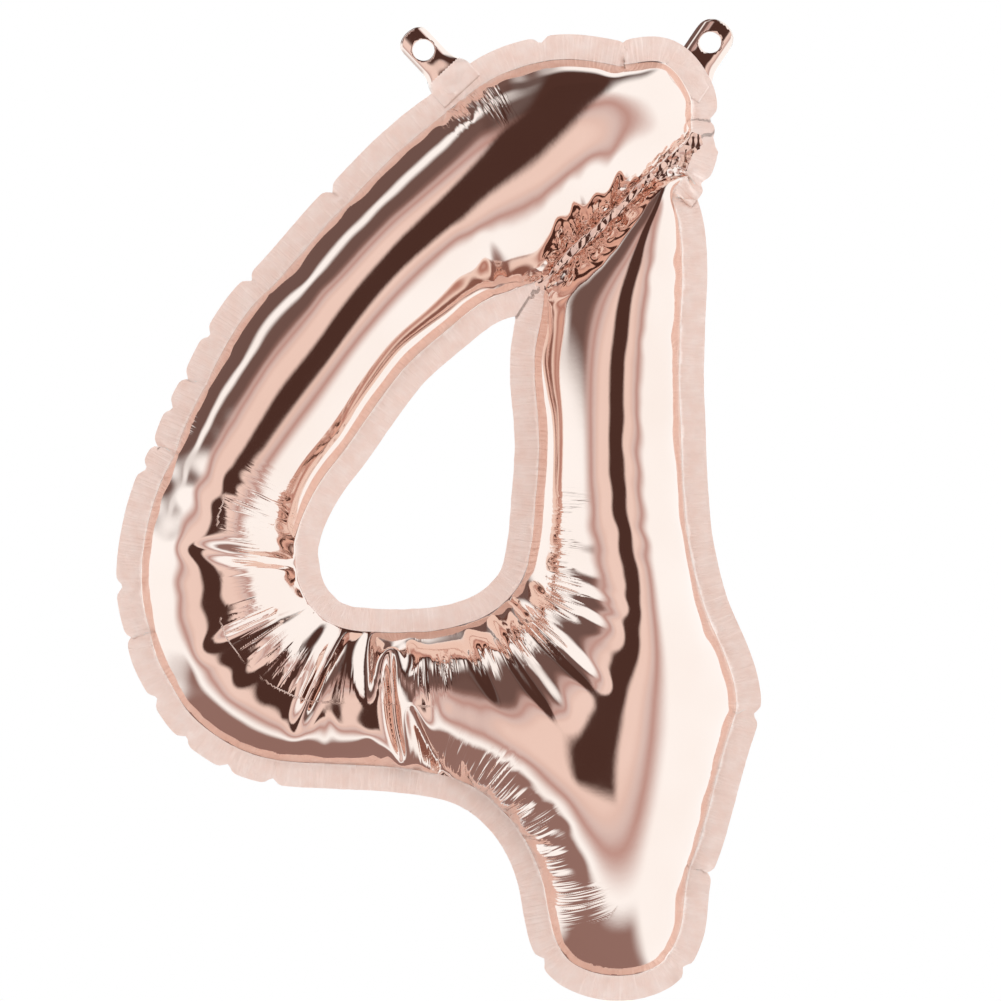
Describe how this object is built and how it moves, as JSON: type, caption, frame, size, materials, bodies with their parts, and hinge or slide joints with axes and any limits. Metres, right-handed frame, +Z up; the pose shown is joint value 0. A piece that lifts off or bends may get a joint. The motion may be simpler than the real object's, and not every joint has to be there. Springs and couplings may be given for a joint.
{
  "type": "foil number balloon",
  "caption": "Air-filled foil balloon in the shape of the numeral four, with a welded hem and punched hang tabs at the top.",
  "frame": {"origin": "centre of the left hang tab's punched hole, in the plane of the seam between the two panels", "axes": "+Z up as it hangs, front towards -Y, +X to the right as the numeral is read, seam in the plane y = 0"},
  "size_m": [0.2491, 0.07, 0.3824],
  "materials": {
    "foil": "mirror-bright rose gold",
    "sealant": "clear, over rose-gold film",
    "valve_film": "milky film"
  },
  "bodies": {
    "envelope": {"front_panel": "foil", "back_panel": "foil", "outer_heat_seal": "sealant", "counter_heat_seal": "sealant", "crease_heat_seal": "sealant", "valve_front_film": "valve_film", "valve_back_film": "valve_film"},
    "left_tab": {"left_tab_front_ply": "foil", "left_tab_heat_seal": "sealant", "left_tab_back_ply": "foil"},
    "right_tab": {"right_tab_front_ply": "foil", "right_tab_heat_seal": "sealant", "right_tab_back_ply": "foil"}
  },
  "joints": [
    {"name": "left_tab_flex", "type": "hinge", "parent": "envelope", "child": "left_tab", "pos_m": [0.01023, 0, -0.01097], "axis": [0.7314, 0, 0.682], "range_deg": [-90, 90], "stiffness_Nm_per_rad": 0.0001},
    {"name": "right_tab_flex", "type": "hinge", "parent": "envelope", "child": "right_tab", "pos_m": [0.10361, 0, -0.00944], "axis": [0.829, 0, -0.5592], "range_deg": [-90, 90], "stiffness_Nm_per_rad": 0.0001}
  ]
}
